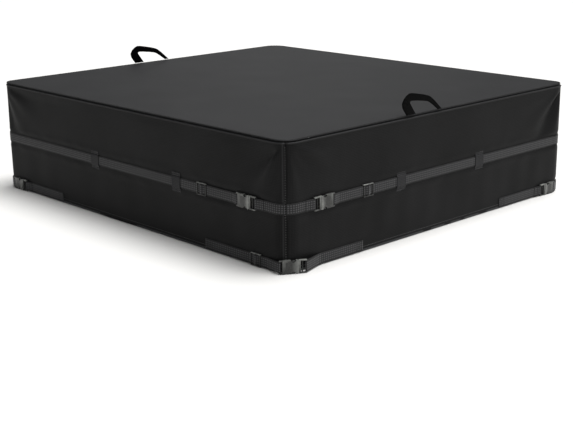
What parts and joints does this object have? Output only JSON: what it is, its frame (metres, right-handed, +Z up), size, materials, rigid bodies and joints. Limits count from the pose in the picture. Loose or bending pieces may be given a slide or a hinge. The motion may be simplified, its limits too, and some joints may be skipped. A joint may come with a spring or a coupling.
{
  "type": "spa cover",
  "caption": "Rectangular fabric spa cover with deep sides, buckled middle belts through loops, strapped lower corners, sliding adjusters and two lifting handles.",
  "frame": {"origin": "middle of the top panel's underside, where it rests on the tub's lid", "axes": "+X to the right face, +Y to the back face, +Z up; the front face looks along -Y"},
  "size_m": [2.2736, 2.0318, 0.6667],
  "materials": {
    "cover_cloth": "matte",
    "trim_tape": "matte",
    "webbing": "matte",
    "elastic": "matte",
    "buckle_plastic": "gloss"
  },
  "bodies": {
    "cover": {"top_panel": "cover_cloth", "front_panel": "cover_cloth", "right_panel": "cover_cloth", "back_panel": "cover_cloth", "left_panel": "cover_cloth", "top_piping": "trim_tape", "corner_bindings": "trim_tape", "hem_band": "trim_tape", "hem_elastic": "elastic", "belt_loops": "webbing", "handle_patches": "cover_cloth", "left_belt": "webbing", "right_belt": "webbing", "strap_front_right": "webbing", "strap_back_right": "webbing", "strap_back_left": "webbing", "strap_front_left": "webbing", "socket_mid_front": "buckle_plastic", "socket_mid_right": "buckle_plastic", "socket_mid_back": "buckle_plastic", "socket_mid_left": "buckle_plastic", "socket_low_front_right": "buckle_plastic", "socket_low_back_right": "buckle_plastic", "socket_low_back_left": "buckle_plastic", "socket_low_front_left": "buckle_plastic", "tail_mid_front": "webbing", "tail_mid_right": "webbing", "tail_mid_back": "webbing", "tail_mid_left": "webbing", "tail_low_front_right": "webbing", "tail_low_back_right": "webbing", "tail_low_back_left": "webbing", "tail_low_front_left": "webbing"},
    "right_handle": {"right_handle": "webbing"},
    "left_handle": {"left_handle": "webbing"},
    "triglide_mid_front": {"triglide_mid_front": "buckle_plastic"},
    "triglide_mid_right": {"triglide_mid_right": "buckle_plastic"},
    "triglide_mid_back": {"triglide_mid_back": "buckle_plastic"},
    "triglide_mid_left": {"triglide_mid_left": "buckle_plastic"},
    "triglide_low_front_right": {"triglide_low_front_right": "buckle_plastic"},
    "triglide_low_back_right": {"triglide_low_back_right": "buckle_plastic"},
    "triglide_low_back_left": {"triglide_low_back_left": "buckle_plastic"},
    "triglide_low_front_left": {"triglide_low_front_left": "buckle_plastic"},
    "plug_mid_front": {"plug_mid_front": "buckle_plastic", "latch_arms_mid_front": "buckle_plastic"},
    "plug_mid_right": {"plug_mid_right": "buckle_plastic", "latch_arms_mid_right": "buckle_plastic"},
    "plug_mid_back": {"plug_mid_back": "buckle_plastic", "latch_arms_mid_back": "buckle_plastic"},
    "plug_mid_left": {"plug_mid_left": "buckle_plastic", "latch_arms_mid_left": "buckle_plastic"},
    "plug_low_front_right": {"plug_low_front_right": "buckle_plastic", "latch_arms_low_front_right": "buckle_plastic"},
    "plug_low_back_right": {"plug_low_back_right": "buckle_plastic", "latch_arms_low_back_right": "buckle_plastic"},
    "plug_low_back_left": {"plug_low_back_left": "buckle_plastic", "latch_arms_low_back_left": "buckle_plastic"},
    "plug_low_front_left": {"plug_low_front_left": "buckle_plastic", "latch_arms_low_front_left": "buckle_plastic"}
  },
  "joints": [
    {"name": "right_handle_fold", "type": "hinge", "parent": "cover", "child": "right_handle", "pos_m": [1.103, -0.119, 0.0052], "axis": [0, 1, 0], "range_deg": [-88, 175]},
    {"name": "left_handle_fold", "type": "hinge", "parent": "cover", "child": "left_handle", "pos_m": [-1.103, 0.024, 0.0052], "axis": [0, 1, 0], "range_deg": [-175, 88]},
    {"name": "triglide_slide_mid_front", "type": "slide", "parent": "cover", "child": "triglide_mid_front", "axis": [1, 0, 0], "range_m": [-0.025, 0.025]},
    {"name": "triglide_slide_mid_right", "type": "slide", "parent": "cover", "child": "triglide_mid_right", "axis": [0, -1, 0], "range_m": [-0.025, 0.025]},
    {"name": "triglide_slide_mid_back", "type": "slide", "parent": "cover", "child": "triglide_mid_back", "axis": [-1, 0, 0], "range_m": [-0.025, 0.025]},
    {"name": "triglide_slide_mid_left", "type": "slide", "parent": "cover", "child": "triglide_mid_left", "axis": [0, 1, 0], "range_m": [-0.025, 0.025]},
    {"name": "triglide_slide_low_front_right", "type": "slide", "parent": "cover", "child": "triglide_low_front_right", "axis": [1, 0, 0], "range_m": [-0.025, 0.025]},
    {"name": "triglide_slide_low_back_right", "type": "slide", "parent": "cover", "child": "triglide_low_back_right", "axis": [1, 0, 0], "range_m": [-0.025, 0.025]},
    {"name": "triglide_slide_low_back_left", "type": "slide", "parent": "cover", "child": "triglide_low_back_left", "axis": [-1, 0, 0], "range_m": [-0.025, 0.025]},
    {"name": "triglide_slide_low_front_left", "type": "slide", "parent": "cover", "child": "triglide_low_front_left", "axis": [0, -1, 0], "range_m": [-0.025, 0.025]},
    {"name": "plug_slide_mid_front", "type": "slide", "parent": "cover", "child": "plug_mid_front", "axis": [1, 0, 0], "range_m": [0, 0.045], "deforming": ["latch_arms_mid_front", "tail_mid_front"]},
    {"name": "plug_slide_mid_right", "type": "slide", "parent": "cover", "child": "plug_mid_right", "axis": [0, -1, 0], "range_m": [0, 0.045], "deforming": ["latch_arms_mid_right", "tail_mid_right"]},
    {"name": "plug_slide_mid_back", "type": "slide", "parent": "cover", "child": "plug_mid_back", "axis": [-1, 0, 0], "range_m": [0, 0.045], "deforming": ["latch_arms_mid_back", "tail_mid_back"]},
    {"name": "plug_slide_mid_left", "type": "slide", "parent": "cover", "child": "plug_mid_left", "axis": [0, 1, 0], "range_m": [0, 0.045], "deforming": ["latch_arms_mid_left", "tail_mid_left"]},
    {"name": "plug_slide_low_front_right", "type": "slide", "parent": "cover", "child": "plug_low_front_right", "axis": [0.5299, 0.848, 0], "range_m": [0, 0.045], "deforming": ["latch_arms_low_front_right", "tail_low_front_right"]},
    {"name": "plug_slide_low_back_right", "type": "slide", "parent": "cover", "child": "plug_low_back_right", "axis": [0, -1, 0], "range_m": [0, 0.045], "deforming": ["latch_arms_low_back_right", "tail_low_back_right"]},
    {"name": "plug_slide_low_back_left", "type": "slide", "parent": "cover", "child": "plug_low_back_left", "axis": [-0.5299, -0.848, 0], "range_m": [0, 0.045], "deforming": ["latch_arms_low_back_left", "tail_low_back_left"]},
    {"name": "plug_slide_low_front_left", "type": "slide", "parent": "cover", "child": "plug_low_front_left", "axis": [1, 0, 0], "range_m": [0, 0.045], "deforming": ["latch_arms_low_front_left", "tail_low_front_left"]}
  ]
}
